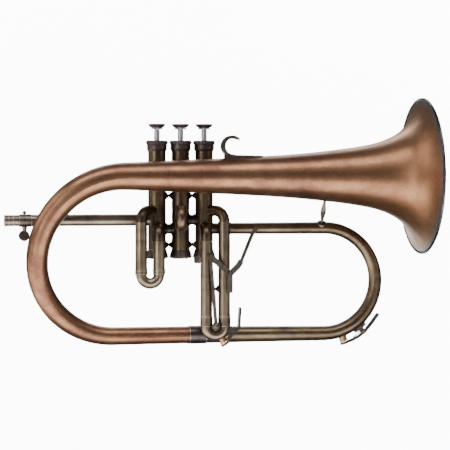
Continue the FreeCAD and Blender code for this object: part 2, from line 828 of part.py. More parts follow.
stubs = []
second_legs = []
for level in second_levels:
    stub_end = second_spot(mm("second_stub_end"), level)
    stub = bar("leg_outer_r", second_spot(0, level), stub_end)
    stub_bore = bar("leg_bore_r", second_spot(0, level), stub_end)
    stubs.append(cut(stub, fuse([stub_bore, casing_body(2, "casing_outer_r")])))
    leg_start = second_spot(mm("casing_outer_r") + 1.0, level)
    leg_end = second_spot(mm("second_bow_start"), level)
    second_legs.append(cut(bar("inner_leg_r", leg_start, leg_end), bar("bow_bore_r", leg_start, leg_end)))
keep("slide_2_outer_legs", group(stubs))
keep("slide_2_inner_legs", group(second_legs))
second_turn_spot = second_spot(mm("second_bow_start"), sum(second_levels) / 2)
second_normal = Vector(0, 0, 1).cross(second_out)
second_rings = [bend("second_spread / 2", radius, second_turn_spot, UP, second_normal, HALF_TURN)
                for radius in ("inner_leg_r", "bow_bore_r")]
second_pieces = [cut(second_rings[0], second_rings[1])]
for level in second_levels:
    start = second_spot(mm("second_stub_end"), level)
    end = second_spot(mm("second_bow_start"), level)
    second_pieces.append(cut(bar("ferrule_r", start, end), bar("inner_leg_r", start, end)))
keep("slide_2_bow", group(second_pieces))


# ---------------------------------------------------------------- pistons, stems, buttons, springs, guides

# (azimuth, level in the casing when in use, pressed) pairs joined by a middle height
MIDDLE_LOW = -6.0
MIDDLE = 6.3
MIDDLE_HIGH = 17.5


def passages(number):
    """The three windways through a piston, in its rest position."""
    ports = PORTS[number]
    drop = mm("stroke")
    inlet, outlet, upper, lower = [(azimuth, level) for azimuth, level, radius in ports]
    open_way = [(inlet[0], inlet[1], outlet[0], outlet[1], MIDDLE_LOW)]
    if number == 2:
        used = [(inlet, lower, MIDDLE), (upper, outlet, MIDDLE_HIGH)]
    else:
        used = [(inlet, upper, MIDDLE_HIGH), (lower, outlet, MIDDLE)]
    for start, end, height in used:
        open_way.append((start[0], start[1] + drop, end[0], end[1] + drop, height))
    return open_way


def windway(number, start_azimuth, start_level, end_azimuth, end_level, middle_level):
    axis = Vector(valve_x(number), 0, 0)
    reach = mm("piston_r") + OVERRUN
    middle = axis + Vector(0, 0, middle_level)
    pieces = [ball("passage_r", middle)]
    for azimuth, level in ((start_azimuth, start_level), (end_azimuth, end_level)):
        pieces.append(bar("passage_r", middle, axis + heading(azimuth) * reach + Vector(0, 0, level)))
    return pieces


STEM = [
    ("0", "barrel_top_z - barrel_lid"), ("spigot_r", "barrel_top_z - barrel_lid"),
    ("spigot_r", "barrel_top_z"), ("stem_r", "barrel_top_z"), ("stem_r", "button_z"),
    ("spigot_r", "button_z"), ("spigot_r", "button_z + 1.8"), ("0", "button_z + 1.8"),
]
BUTTON = [
    ("spigot_r", "button_z"), ("button_foot_r", "button_z"), ("button_r - 0.2", "button_z + 2.1"),
    ("button_r", "button_z + 2.5"), ("button_r", "button_z + button_high - 0.3"),
    ("button_r - 0.4", "button_z + button_high"), ("button_r - 1.2", "button_z + button_high"),
    ("button_r - 2.4", "button_z + button_high - 0.5"), ("0", "button_z + button_high - 0.8"),
    ("0", "button_z + 1.8"), ("spigot_r", "button_z + 1.8"),
]


def coil_spring(x):
    """Round-wire spring between its guide and the barrel's lid, as tilted half turns of ring."""
    seat = mm("guide_z") + mm("guide_thick") + mm("spring_wire_r")
    lid = mm("barrel_top_z") - mm("barrel_lid") - mm("spring_wire_r")
    half_turns = int(mm("spring_turns")) * 2
    climb = (lid - seat) / half_turns
    tilt = math.asin(climb / 2 / mm("spring_r"))
    halves = []
    for index in range(half_turns):
        side = 1 - 2 * (index % 2)
        centre = Vector(x, 0, seat + climb * (index + 0.5))
        start = Vector(side * math.cos(tilt), 0, -math.sin(tilt))
        normal = start.cross(Vector(0, side, 0))
        halves.append(bend("spring_r", "spring_wire_r", centre, start, normal, HALF_TURN))
    return fuse(halves)


guides = []
for number in (1, 2, 3):
    x = valve_x(number)
    body_solid = cylinder("piston_r", "piston_top_z - piston_bottom_z", (x, 0, mm("piston_bottom_z")))
    barrel = cylinder("barrel_outer_r", "barrel_top_z - piston_top_z", (x, 0, mm("piston_top_z")))
    hollows = [cylinder("barrel_inner_r", "barrel_top_z - barrel_lid - piston_top_z",
                        (x, 0, mm("piston_top_z"))),
               cylinder("spigot_r", "barrel_lid", (x, 0, mm("barrel_top_z") - mm("barrel_lid"))),
               block("slot_width", "casing_outer_r * 2", "slot_top_z - slot_bottom_z",
                     (x - mm("slot_width") / 2, -mm("casing_outer_r"), mm("slot_bottom_z")))]
    for way in passages(number):
        hollows += windway(number, *way)
    keep("piston_%d" % number, cut(fuse([body_solid, barrel]), fuse(hollows)))
    keep("stem_%d" % number, turned(STEM, (x, 0, 0)))
    keep("button_%d" % number, turned(BUTTON, (x, 0, 0)))

    ears = common(block("guide_ear", "casing_bore_r * 2", "guide_thick",
                        (x - mm("guide_ear") / 2, -mm("casing_bore_r"), mm("guide_z"))),
                  cylinder("casing_bore_r", "guide_thick", (x, 0, mm("guide_z"))))
    guides.append(fuse([cylinder("guide_r", "guide_thick", (x, 0, mm("guide_z"))), ears]))

    keep("spring_%d" % number, coil_spring(x))
keep("valve_guides", group(guides))


# ---------------------------------------------------------------- leadpipe, clamp and tuning shank

pipe_start = (mm("pipe_start_x"), 0, 0)
pipe_bore = bar("pipe_bore_r", pipe_start, (valve_x(1), 0, 0))
keep("leadpipe", cut(leadpipe_core, fuse([pipe_bore, casing_body(1, "casing_outer_r")])))

GROOVES = [(3.0, 0.9), (6.4, 1.1), (9.6, 1.1)]
head = [("socket_r", "0"), ("head_r - 0.5", "0"), ("head_r", "0.5")]
for start, wide in GROOVES:
    head += [("head_r", "%f" % start), ("head_r - groove_deep", "%f" % (start + 0.2)),
             ("head_r - groove_deep", "%f" % (start + wide - 0.2)), ("head_r", "%f" % (start + wide))]
head += [
    ("head_r", "head_long - 0.4"), ("head_r - 0.4", "head_long"), ("shank_r", "head_long"),
    ("shank_r", "shank_long"), ("shank_bore_r", "shank_long"), ("shank_bore_r", "socket_deep"),
    ("socket_r", "socket_deep"),
]
keep("tuning_shank", turned(head, (0, 0, 0), TO_BELL))

collar = fuse([cylinder("collar_r", "collar_long", pipe_start, TO_BELL)] + [
    block("lug_long", "lug_z", "lug_z * 2",
          (mm("screw_x") - mm("lug_long") / 2, mm("collar_r") - 0.6, -mm("lug_z")))])
slit = block("collar_long", "lug_z + collar_r", "collar_slit",
             (mm("pipe_start_x"), 0, -mm("collar_slit") / 2))
screw_top = Vector(mm("screw_x"), mm("lug_y"), mm("screw_ball_z"))
screw_hole = bar("screw_hole_r", (mm("screw_x"), mm("lug_y"), -mm("lug_z") - OVERRUN), screw_top)
grip = cylinder("pipe_outer_r", "collar_long", pipe_start, TO_BELL)
keep("leadpipe_clamp", cut(collar, fuse([grip, slit, screw_hole])))

shoulder_z = -mm("lug_z") - 0.35
neck = cone("screw_neck_r", "screw_r + 0.3", (mm("screw_x"), mm("lug_y"), shoulder_z),
            (mm("screw_x"), mm("lug_y"), mm("paddle_z") + mm("paddle_r") - 1.0))
paddle_face = mm("lug_y") + mm("paddle_thick") / 2
paddle = cylinder("paddle_r", "paddle_thick", (mm("screw_x") - 0.5, paddle_face, mm("paddle_z")),
                  TO_RIGHT_SIDE)
screw_shank = bar("screw_r", (mm("screw_x"), mm("lug_y"), shoulder_z), screw_top)
keep("clamp_screw", fuse([screw_shank, ball("screw_nub_r", screw_top), neck, paddle]))


# ---------------------------------------------------------------- stays to the bell and the bell brace

def bell_centre_back(x_position):
    """Centre of the bell over a given X, on its straight part."""
    return Vector(x_position, mm("bell_y"), mm("bell_z"))


bow_crossing_up = BOW_RISE.Length * (0 - mm("branch_z")) / BOW_RISE.z
crossing_rise = bow_crossing_up - mm("lower_bow_r")
crossing_x = mm("bow_back_x") + UPPER_BOW_R - math.sqrt(UPPER_BOW_R ** 2 - crossing_rise ** 2)
crossing = bell_spot(crossing_x, bow_crossing_up)
stay_tools = [bell_core, leadpipe_core]
pipe_stay = cut(bar("stay_foot_r", (crossing.x, 0, 0), crossing), fuse(stay_tools))
bell_stays = [pipe_stay]
for number in (1, 3):
    stay = bar("stay_foot_r", (valve_x(number), 0, mm("bell_z")), bell_centre_back(valve_x(number)))
    bell_stays.append(cut(stay, fuse([bell_core, casing_body(number, "casing_outer_r")])))
keep("bell_stays", group(bell_stays))

brace_foot = Vector(mm("brace_x"), 0, mm("low_level"))
brace_head = Vector(mm("brace_x"), mm("bell_y"), mm("bell_z"))
BRACE = [
    ("0", "3"), ("4.9", "3"), ("4.9", "5.9"), ("3.4", "6.6"), ("1.7", "7.8"), ("1.45", "9.5"),
    ("2.1", "13.5"), ("2.75", "17"), ("2.75", "18"), ("2.1", "18.4"), ("2.1", "19.4"), ("2.75", "19.8"),
    ("2.75", "20.8"), ("2.1", "24.5"), ("1.45", "29"), ("1.7", "31.2"), ("3.4", "32.6"),
    ("4.6", "33.6"), ("4.6", "38"), ("0", "38"),
]
baluster = turned(BRACE, brace_foot, brace_head - brace_foot)
brace_tools = fuse([bell_core, bow_core, cone("branch_start_r", "bow_start_r", third_axis, high_turn)])
keep("bell_brace", cut(baluster, brace_tools))


# ---------------------------------------------------------------- finger hook

hook_y = mm("bell_y") + mm("hook_wide") / 2
hook_centre = Vector(mm("hook_x"), hook_y, mm("hook_z"))
hook_outer = cylinder("hook_outer_r", "hook_wide", hook_centre, TO_RIGHT_SIDE)
hook_inner = cylinder("hook_inner_r", "hook_wide", hook_centre + Vector(0.6, 0, -0.3), TO_RIGHT_SIDE)
hook_side = mm("bell_y") - mm("hook_wide") / 2 - 1
hook_foot = mm("hook_z") - mm("hook_outer_r")
hook_mouth = block("hook_outer_r", "hook_wide + 2", "hook_outer_r * 2",
                   (mm("hook_x") + 7.6, hook_side, hook_foot))
hook_under = block("hook_outer_r + 8", "hook_wide + 2", "hook_outer_r + 6",
                   (mm("hook_x") + 2.0, hook_side, hook_foot))
curl = cut(hook_outer, fuse([hook_inner, hook_mouth, hook_under]))
BASE = [
    ("hook_base_start_x", "bell_z + 14"), ("hook_base_end_x", "bell_z + 14"),
    ("hook_base_end_x", "hook_base_low_z"), ("hook_base_start_x + 9", "hook_base_high_z - 0.4"),
    ("hook_base_start_x", "hook_base_high_z"),
]
hook_base = plate(BASE, "hook_wide", (0, mm("bell_y"), 0))
keep("finger_hook", cut(fuse([curl, hook_base]), bell_core))


# ---------------------------------------------------------------- third-slide trigger

def flat_bar(start, end, wide, thick):
    """Bar with round ends in an XZ plane; thick is its size along Y."""
    along = end - start
    strip = block("1", thick, wide, start)
    strip.Length = along.Length
    strip.setExpression("Length", None)
    middle = Vector(0, -mm(thick) / 2, -mm(wide) / 2)
    turn = Rotation(Vector(1, 0, 0), along)
    strip.Placement = Placement(start, turn).multiply(Placement(middle, Rotation()))
    ends = [pad_disc(wide + " / 2", thick, spot) for spot in (start, end)]
    return fuse([strip] + ends)


def pad_disc(radius, thick, spot):
    """Disc square to Y, centred on a point."""
    return cylinder(radius, thick, spot + Vector(0, mm(thick) / 2, 0), TO_RIGHT_SIDE)


def chain(spots, wide, thick):
    return [flat_bar(start, end, wide, thick) for start, end in zip(spots, spots[1:])]


def in_plane(y_position, *spots):
    return [Vector(x, y_position, z) for x, z in spots]


lever_y = mm("lever_y")
pivot = Vector(mm("pivot_x"), lever_y, mm("pivot_z"))
pin = Vector(mm("pin_x"), lever_y, mm("pin_z"))
SHOULDER = [(222.1, -43.9), (224.3, -40.3)]
FINGER_STRIP = [(224.9, -39.0), (230.4, -25.6), (235.5, -13.3), (239.5, -8.1)]
lever_arms = chain([pin, pivot] + in_plane(lever_y, *SHOULDER), "lever_wide", "lever_thick")
lever_arms += chain(in_plane(mm("finger_y"), *FINGER_STRIP), "finger_thick", "finger_wide")
pin_back_y = mm("rod_y") + mm("rod_thick") / 2
pin_body = bar("pin_r", pin, (pin.x, pin_back_y, pin.z))
pin_head = cylinder("screw_head_r - 0.3", "0.9",
                    (pin.x, lever_y - mm("lever_thick") / 2, pin.z), TO_RIGHT_SIDE)
hub_hole = pad_disc("pin_r + eye_clear", "lever_thick", pivot)
keep("trigger_lever", fuse([cut(fuse(lever_arms), hub_hole), pin_body, pin_head]))

rod_top = Vector(pin.x, mm("rod_y"), pin.z)
rod_foot = Vector(mm("ball_x"), mm("rod_y"), mm("ball_z"))
rod_blank = fuse([flat_bar(rod_top, rod_foot, "rod_wide", "rod_thick"),
                  pad_disc("pin_eye_r", "rod_thick", rod_top),
                  pad_disc("rod_ring_r", "rod_thick", rod_foot)])
rod_holes = fuse([pad_disc("pin_r + eye_clear", "rod_thick", rod_top),
                  pad_disc("rod_eye_r", "rod_thick", rod_foot)])
keep("trigger_rod", cut(rod_blank, rod_holes))

bracket = block("bracket_wide", "bracket_back_y - bracket_face_y", "bracket_top_z - bracket_foot_z",
                (pivot.x - mm("bracket_wide") / 2, mm("bracket_face_y"), mm("bracket_foot_z")))
screw_tail = Vector(pivot.x, mm("bracket_back_y") - 2.3, pivot.z)
screw_shank_end = Vector(pivot.x, lever_y - mm("lever_thick") / 2 - 0.3, pivot.z)
screw_hole_end = Vector(pivot.x, mm("bracket_face_y") - OVERRUN, pivot.z)
keep("trigger_bracket", cut(bracket, fuse([third_legs, bar("pin_r", screw_tail, screw_hole_end)])))
lever_screw = fuse([bar("pin_r", screw_tail, screw_shank_end),
                    cylinder("screw_head_r", "1.3", screw_shank_end, TO_RIGHT_SIDE)])

third_turn = Vector(mm("third_bow_x"), mm("slide_y"), mm("third_ferrule_end_z"))
third_bow_core = bend("third_spread / 2", "inner_leg_r", third_turn, TO_MOUTH, (0, -1, 0), HALF_TURN)
third_sleeves = [bar("ferrule_r", (spot.x, spot.y, mm("third_leg_end_z")),
                     (spot.x, spot.y, mm("third_ferrule_end_z"))) for spot in (third_left, third_right)]
third_slide_core = fuse([third_bow_core] + third_sleeves)
STUD_HEAD = [
    ("0", "0"), ("stud_head_r", "0"), ("stud_head_r", "0.8"), ("stud_head_r - 0.7", "1.9"),
    ("stud_head_r - 1.8", "2.6"), ("0", "2.8"),
]
stud_seat = Vector(mm("ball_x"), mm("slide_y"), mm("ball_z"))
head_seat_y = mm("rod_y") - mm("rod_thick") / 2 - 0.4
stud_head = turned(STUD_HEAD, (mm("ball_x"), head_seat_y, mm("ball_z")), TO_RIGHT_SIDE)
stud_bar = bar("stud_r", stud_seat, (mm("ball_x"), head_seat_y - 0.5, mm("ball_z")))
collar_y = mm("rod_y") + mm("rod_thick") / 2 + 0.4
stud_collar = bar("stud_head_r", (mm("ball_x"), collar_y + 1.2, mm("ball_z")),
                  (mm("ball_x"), collar_y, mm("ball_z")))
stay_reach = Vector(mm("third_spread") / 2 - 3.0, 0, 0)
cross_stay = bar("stud_r + 0.7", stud_seat - stay_reach, stud_seat + stay_reach)
keep("rod_stud", fuse([cut(cross_stay, third_slide_core), stud_bar, stud_collar, stud_head]))


# ---------------------------------------------------------------- water keys

def radial_block(centre, direction, start, end, width, height):
    """Block along a direction away from a bow's centre, centred across it."""
    item = block("1", width, height, centre)
    item.setExpression("Length", None)
    item.Length = end - start
    turn = Rotation(Vector(1, 0, 0), direction)
    corner = Vector(start, -mm(width) / 2, -mm(height) / 2)
    item.Placement = Placement(centre, turn).multiply(Placement(corner, Rotation()))
    return item


def cross_pin(radius, width, spot):
    """Round pin along Y, centred on a point."""
    return cylinder(radius, width, spot + Vector(0, mm(width) / 2, 0), TO_RIGHT_SIDE)


def key_nipple(radius, seat, way, core):
    start = seat - way * 8.0
    return cut(bar(radius, start, seat), fuse([core, bar("nipple_bore_r", start, seat + way)]))


def key_cork(radius, seat, way):
    start = seat + way * mm("cork_gap")
    return bar(radius, start, start + way * mm("cork_high"))


def key_lever(radius, seat, way, hinge, strap_line, touch_line):
    """Cup over the cork, strap past the hinge eye, and a touch-piece at its end."""
    cork_end = seat + way * (mm("cork_gap") + mm("cork_high"))
    cup = bar(radius + " + cup_rim", cork_end - way * mm("cork_high") * 0.6, cork_end + way * 1.6)
    strap = chain([cork_end + way * 0.6] + strap_line, "strap_thick", "strap_wide")
    paddle = chain(touch_line, "touch_thick", "touch_wide")
    hub = cross_pin("hub_r", "strap_wide", hinge)
    eye = cross_pin("key_pin_r + eye_clear", "saddle_wide", hinge)
    nipple_relief = bar(radius + " + nipple_clear", seat - way * 4.0, seat + way * mm("cork_gap"))
    hollows = fuse([eye, key_cork(radius, seat, way), nipple_relief])
    return cut(fuse([cup] + strap + paddle + [hub]), hollows)


def key_saddle(centre, hinge, surface, foot, core, pin_hole):
    """Foot plate on the bow and two lugs that hold the hinge pin."""
    outward = hinge - centre
    direction = Vector(outward).normalize()
    base_top = surface + 1.6
    base = radial_block(centre, direction, surface - 2.6, base_top, "saddle_wide", foot)
    lugs = radial_block(centre, direction, surface, outward.Length + 2.2, "saddle_wide", "lug_wide")
    channel = radial_block(centre, direction, base_top, outward.Length + 4.0, "saddle_gap", "lug_wide")
    tools = [core, channel] + ([cross_pin("key_pin_r", "saddle_wide", hinge)] if pin_hole else [])
    return cut(fuse([base, lugs]), fuse(tools))


front_centre = (low_turn + high_turn) * 0.5
front_hinge = Vector(353.1, 0, -112.0)
front_strap = in_plane(0, (342.9, -120.0), (349.2, -116.7), (354.3, -112.9), (358.1, -108.4))
front_touch = in_plane(0, (358.1, -108.4), (362.0, -103.6), (368.4, -95.0))
front_surface = (high_turn.z - low_turn.z) / 2 + 7.0
keep("front_drain_nipple", key_nipple("front_nipple_r", front_seat, front_way, bow_core))
keep("front_key_cork", key_cork("front_nipple_r", front_seat, front_way))
keep("front_key_lever", key_lever("front_nipple_r", front_seat, front_way, front_hinge,
                                  front_strap, front_touch))
keep("front_key_saddle", key_saddle(front_centre, front_hinge, front_surface, "front_foot_long",
                                    bow_core, True))
key_screw = fuse([cross_pin("key_pin_r", "saddle_wide", front_hinge)] + [
    bar("hub_r - 0.5", front_hinge + Vector(0, side * mm("saddle_wide") / 2, 0),
        front_hinge + Vector(0, side * (mm("saddle_wide") / 2 + 0.9), 0)) for side in (-1, 1)])
keep("hinge_screws", group([lever_screw, key_screw]))

slide_y = mm("slide_y")
slide_hinge = Vector(220.3, slide_y, -107.6)
slide_strap = in_plane(slide_y, (220.3, -107.6), (224.3, -104.8))
slide_touch = in_plane(slide_y, (224.3, -104.8), (225.6, -85.4))
slide_surface = mm("third_spread") / 2 + mm("inner_leg_r")
keep("slide_key_nipple", key_nipple("slide_nipple_r", slide_seat, slide_way, third_slide_core))
keep("slide_key_cork", key_cork("slide_nipple_r", slide_seat, slide_way))
keep("slide_key_lever", key_lever("slide_nipple_r", slide_seat, slide_way, slide_hinge,
                                  slide_strap, slide_touch))
slide_saddle = key_saddle(third_turn, slide_hinge, slide_surface, "slide_foot_long",
                          third_slide_core, False)
keep("slide_key_saddle", fuse([slide_saddle, cross_pin("key_pin_r", "saddle_wide", slide_hinge)]))


# ---------------------------------------------------------------- checks and export

doc.recompute()
faulty = [item.Label for item in doc.Objects if "Invalid" in item.State or "Error" in item.State]
for item in made:
    if item.Shape.isNull() or not item.Shape.isValid() or not item.Shape.Solids:
        faulty.append(item.Label)
if faulty:
    raise RuntimeError("not sound: " + ", ".join(faulty))
for item in made:
    item.Shape.exportStep("parts/%s.step" % item.Label)
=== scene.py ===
import json
import math

import bmesh
import bpy
from mathutils import Matrix, Vector


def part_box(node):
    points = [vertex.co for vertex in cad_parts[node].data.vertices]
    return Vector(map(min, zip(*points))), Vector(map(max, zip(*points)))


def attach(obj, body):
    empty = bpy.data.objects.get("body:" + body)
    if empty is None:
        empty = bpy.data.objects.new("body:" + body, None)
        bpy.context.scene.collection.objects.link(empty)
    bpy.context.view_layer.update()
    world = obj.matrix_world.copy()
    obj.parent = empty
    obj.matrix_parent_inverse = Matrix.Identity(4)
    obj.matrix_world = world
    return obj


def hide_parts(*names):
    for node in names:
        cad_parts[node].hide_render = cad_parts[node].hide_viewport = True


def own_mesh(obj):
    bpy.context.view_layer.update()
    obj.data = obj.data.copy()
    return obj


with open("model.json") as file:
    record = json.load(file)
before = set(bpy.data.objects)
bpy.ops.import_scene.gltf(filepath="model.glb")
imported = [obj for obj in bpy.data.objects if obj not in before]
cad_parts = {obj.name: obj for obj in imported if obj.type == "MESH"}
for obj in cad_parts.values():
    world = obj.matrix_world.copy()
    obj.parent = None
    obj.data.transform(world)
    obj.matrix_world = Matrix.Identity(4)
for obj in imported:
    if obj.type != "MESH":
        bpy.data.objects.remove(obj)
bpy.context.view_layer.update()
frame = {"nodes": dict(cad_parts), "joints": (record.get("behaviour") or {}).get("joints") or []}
NODES = frame["nodes"]
MM = 0.001
ALONG_X = (1, 0, 0)
UPRIGHT = (0, 0, 1)


# ---------------------------------------------------------------- material helpers

def new_material(name):
    """Empty node material with a Principled shader."""
    material = bpy.data.materials.new(name)
    material.use_nodes = True
    tree = material.node_tree
    tree.nodes.clear()
    output = tree.nodes.new("ShaderNodeOutputMaterial")
    shader = tree.nodes.new("ShaderNodeBsdfPrincipled")
    tree.links.new(shader.outputs["BSDF"], output.inputs["Surface"])
    return material, tree, shader


def coordinates(tree, scale=(1, 1, 1), move=(0, 0, 0)):
    """Place on the object, scaled and moved."""
    place = tree.nodes.new("ShaderNodeTexCoord")
    mapping = tree.nodes.new("ShaderNodeMapping")
    mapping.inputs["Scale"].default_value = scale
    mapping.inputs["Location"].default_value = move
    tree.links.new(place.outputs["Object"], mapping.inputs["Vector"])
    return mapping.outputs["Vector"]


def noise(tree, vector, scale, detail=4.0, rough=0.55, distortion=0.0):
    """Cloudy noise with scale features to the metre."""
    node = tree.nodes.new("ShaderNodeTexNoise")
    node.inputs["Scale"].default_value = scale
    node.inputs["Detail"].default_value = detail
    node.inputs["Roughness"].default_value = rough
    node.inputs["Distortion"].default_value = distortion
    tree.links.new(vector, node.inputs["Vector"])
    return node.outputs["Fac"]


def ramp(tree, source, stops):
    """Colours at places from 0 to 1 along a value."""
    node = tree.nodes.new("ShaderNodeValToRGB")
    elements = node.color_ramp.elements
    while len(elements) < len(stops):
        elements.new(0.5)
    for element, (place, colour) in zip(elements, stops):
        element.position = place
        element.color = tuple(colour) + (1.0,)
    tree.links.new(source, node.inputs["Fac"])
    return node.outputs["Color"]


def grey(value):
    """Neutral colour of one value."""
    return (value, value, value)


def mix(tree, factor, first, second):
    """Two colours or sockets, mixed by a number or a socket."""
    node = tree.nodes.new("ShaderNodeMix")
    node.data_type = "RGBA"
    if isinstance(factor, float):
        node.inputs[0].default_value = factor
    else:
        tree.links.new(factor, node.inputs[0])
    for index, value in ((6, first), (7, second)):
        if isinstance(value, tuple):
            node.inputs[index].default_value = value + (1.0,)
        else:
            tree.links.new(value, node.inputs[index])
    return node.outputs[2]


def bump(tree, shader, height, strength, distance):
    """Fine relief from a value."""
    node = tree.nodes.new("ShaderNodeBump")
    node.inputs["Strength"].default_value = strength
    node.inputs["Distance"].default_value = distance
    tree.links.new(height, node.inputs["Height"])
    tree.links.new(node.outputs["Normal"], shader.inputs["Normal"])


def toned(dark, mid, share):
    """Colour a share of the way from mid to dark."""
    return tuple(m + (d - m) * share for d, m in zip(dark, mid))


def along(tree, axis, start, end):
    """0 to 1 between two places along an axis, in metres."""
    place = tree.nodes.new("ShaderNodeTexCoord")
    split = tree.nodes.new("ShaderNodeSeparateXYZ")
    tree.links.new(place.outputs["Object"], split.inputs[0])
    ranger = tree.nodes.new("ShaderNodeMapRange")
    ranger.inputs["From Min"].default_value = start
    ranger.inputs["From Max"].default_value = end
    tree.links.new(split.outputs[axis], ranger.inputs["Value"])
    return ranger.outputs["Result"]


def worn_metal(name, dark, mid, light, rough, patina=0.6, cloud=30.0, streak=(1, 1, 1), contrast=0.55,
               zones=(), bands=None, blotches=0.30):
    """Antiqued metal: cloudy patina, brushing along one way, specks, tarnish bands and uneven gloss."""
    material, tree, shader = new_material(name)
    soft_dark, soft_light = toned(dark, mid, contrast), toned(light, mid, contrast)
    drawn = tuple(0.35 + 0.65 * part for part in streak)
    clouds = noise(tree, coordinates(tree, drawn), cloud, 5.0, 0.6, 0.5)
    blotch = noise(tree, coordinates(tree, drawn, (2, 5, 1)), cloud * 3.1, 4.0, 0.6, 0.3)
    fine = noise(tree, coordinates(tree, streak), 900.0, 3.0, 0.6)
    specks = noise(tree, coordinates(tree, move=(3, 1, 2)), 420.0, 4.0, 0.7)
    base = ramp(tree, clouds, [(0.34, soft_dark), (0.5, mid), (0.66, soft_light)])
    blotched = mix(tree, blotches, base, ramp(tree, blotch, [(0.38, soft_dark), (0.62, soft_light)]))
    brushed = mix(tree, 0.16, blotched, ramp(tree, fine, [(0.35, dark), (0.65, light)]))
    if bands:
        along_tube, scale, share, colour = bands
        tarnish = noise(tree, coordinates(tree, along_tube, (4, 1, 6)), scale, 3.0, 0.5, 0.2)
        reach = ramp(tree, tarnish, [(0.50, grey(0.0)), (0.66, grey(share))])
        brushed = mix(tree, reach, brushed, colour)
    for axis, start, end, share, colour in zones:
        reach = ramp(tree, along(tree, axis, start, end), [(0.0, grey(0.0)), (1.0, grey(share))])
        brushed = mix(tree, reach, brushed, colour)
    spotted = mix(tree, ramp(tree, specks, [(0.62, grey(0.0)), (0.76, grey(patina))]), brushed, dark)
    tree.links.new(spotted, shader.inputs["Base Color"])
    shader.inputs["Metallic"].default_value = 1.0
    gloss = ramp(tree, blotch, [(0.3, grey(rough + 0.06)), (0.7, grey(rough - 0.04))])
    tree.links.new(gloss, shader.inputs["Roughness"])
    bump(tree, shader, fine, 0.10, 0.0001)
    return material


def plain_stuff(name, dark, light, rough, scale, metallic=0.0):
    """Cork, felt, nylon or painted metal with fine grain."""
    material, tree, shader = new_material(name)
    grain = noise(tree, coordinates(tree), scale, 5.0, 0.65)
    tree.links.new(ramp(tree, grain, [(0.35, dark), (0.65, light)]), shader.inputs["Base Color"])
    shader.inputs["Metallic"].default_value = metallic
    tree.links.new(ramp(tree, grain, [(0.3, grey(rough + 0.06)), (0.7, grey(rough - 0.06))]),
                   shader.inputs["Roughness"])
    bump(tree, shader, grain, 0.25, 0.0002)
    return material


# ---------------------------------------------------------------- materials

# which way the brushing and the tarnish run: a small share stretches the grain along that axis
LONG = (0.12, 1, 1)
TALL = (1, 1, 0.12)
BELL_BRUSHING = (0.6, 1, 1)
BANDS_X = (1, 0.10, 0.10)
BANDS_Z = (0.10, 0.10, 1)
TARNISH = (0.060, 0.046, 0.050)
# zones: axis, where the tone starts and is full, its share and its colour
RIM_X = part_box("bell")[1][0]
BELL_ZONES = [
    ("X", RIM_X - 0.125, RIM_X - 0.020, 0.38, (0.42, 0.225, 0.110)),
    ("X", RIM_X - 0.0030, RIM_X - 0.0008, 0.80, (0.25, 0.24, 0.26)),
]
WIRE_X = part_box("bell_rim")[0][0]
# Painted highlight: a thin lighter line along the outer (+X) edge of the rim bead, all the way round, stands
# in for the lit edge of the bead.
RIM_PAINTED_HIGHLIGHT = [("X", WIRE_X + 0.0019, WIRE_X + 0.0024, 0.85, (0.42, 0.35, 0.27))]
copper = worn_metal("bell_copper_satin", (0.100, 0.040, 0.034), (0.275, 0.134, 0.088), (0.47, 0.268, 0.150),
                    0.36, 0.35, 18.0, BELL_BRUSHING, 0.85, BELL_ZONES, None, 0.42)
ferrule_metal = worn_metal("ferrule_dark_bronze", (0.030, 0.026, 0.028), (0.085, 0.072, 0.078),
                           (0.18, 0.155, 0.155), 0.36, 0.5, 60.0)
tube_metal = worn_metal("tube_antique_brass", (0.045, 0.030, 0.022), (0.150, 0.108, 0.072),
                        (0.33, 0.255, 0.165), 0.34, 0.5, 30.0, LONG, 0.65, (), (BANDS_X, 30.0, 0.45, TARNISH))
pipe_metal = worn_metal("pipe_antique_brass", (0.080, 0.062, 0.055), (0.225, 0.185, 0.155),
                        (0.44, 0.38, 0.31), 0.34, 0.5, 36.0, LONG, 0.6, (), (BANDS_X, 34.0, 0.5, TARNISH))
slide_metal = worn_metal("slide_antique_brass", (0.085, 0.062, 0.050), (0.255, 0.200, 0.145),
                         (0.47, 0.39, 0.27), 0.32, 0.5, 44.0, TALL, 0.6, (), (BANDS_Z, 46.0, 0.55, TARNISH))
casing_metal = worn_metal("casing_smoked_brass", (0.042, 0.030, 0.022), (0.135, 0.098, 0.068),
                          (0.29, 0.22, 0.14), 0.34, 0.6, 60.0, TALL, 0.65, (),
                          (BANDS_Z, 50.0, 0.45, TARNISH))
cap_metal = worn_metal("cap_gunmetal", (0.050, 0.040, 0.038), (0.125, 0.098, 0.094),
                       (0.22, 0.18, 0.17), 0.44, 0.4, 80.0)
stay_metal = worn_metal("stay_blackened", (0.014, 0.012, 0.012), (0.040, 0.034, 0.033),
                        (0.095, 0.082, 0.080), 0.40, 0.5, 80.0)
stem_metal = worn_metal("stem_bright_nickel", (0.48, 0.48, 0.48), (0.66, 0.66, 0.66), (0.82, 0.82, 0.82),
                        0.34, 0.2, 80.0, TALL)
piston_metal = worn_metal("piston_lapped_nickel", (0.40, 0.39, 0.37), (0.55, 0.54, 0.52),
                          (0.68, 0.67, 0.65), 0.28, 0.3, 90.0, TALL)
spring_metal = worn_metal("spring_steel", (0.22, 0.22, 0.22), (0.42, 0.42, 0.42), (0.60, 0.60, 0.60),
                          0.30, 0.3, 120.0)
fitting_metal = worn_metal("fitting_dark_brass", (0.045, 0.038, 0.034), (0.125, 0.105, 0.092),
                           (0.27, 0.235, 0.205), 0.38, 0.6, 110.0)
nipple_metal = worn_metal("nipple_copper", (0.16, 0.070, 0.034), (0.42, 0.20, 0.105),
                          (0.62, 0.35, 0.20), 0.32, 0.4, 120.0)
drain_metal = worn_metal("nipple_warm_brass", (0.10, 0.062, 0.030), (0.27, 0.18, 0.105),
                         (0.45, 0.33, 0.21), 0.34, 0.5, 120.0)
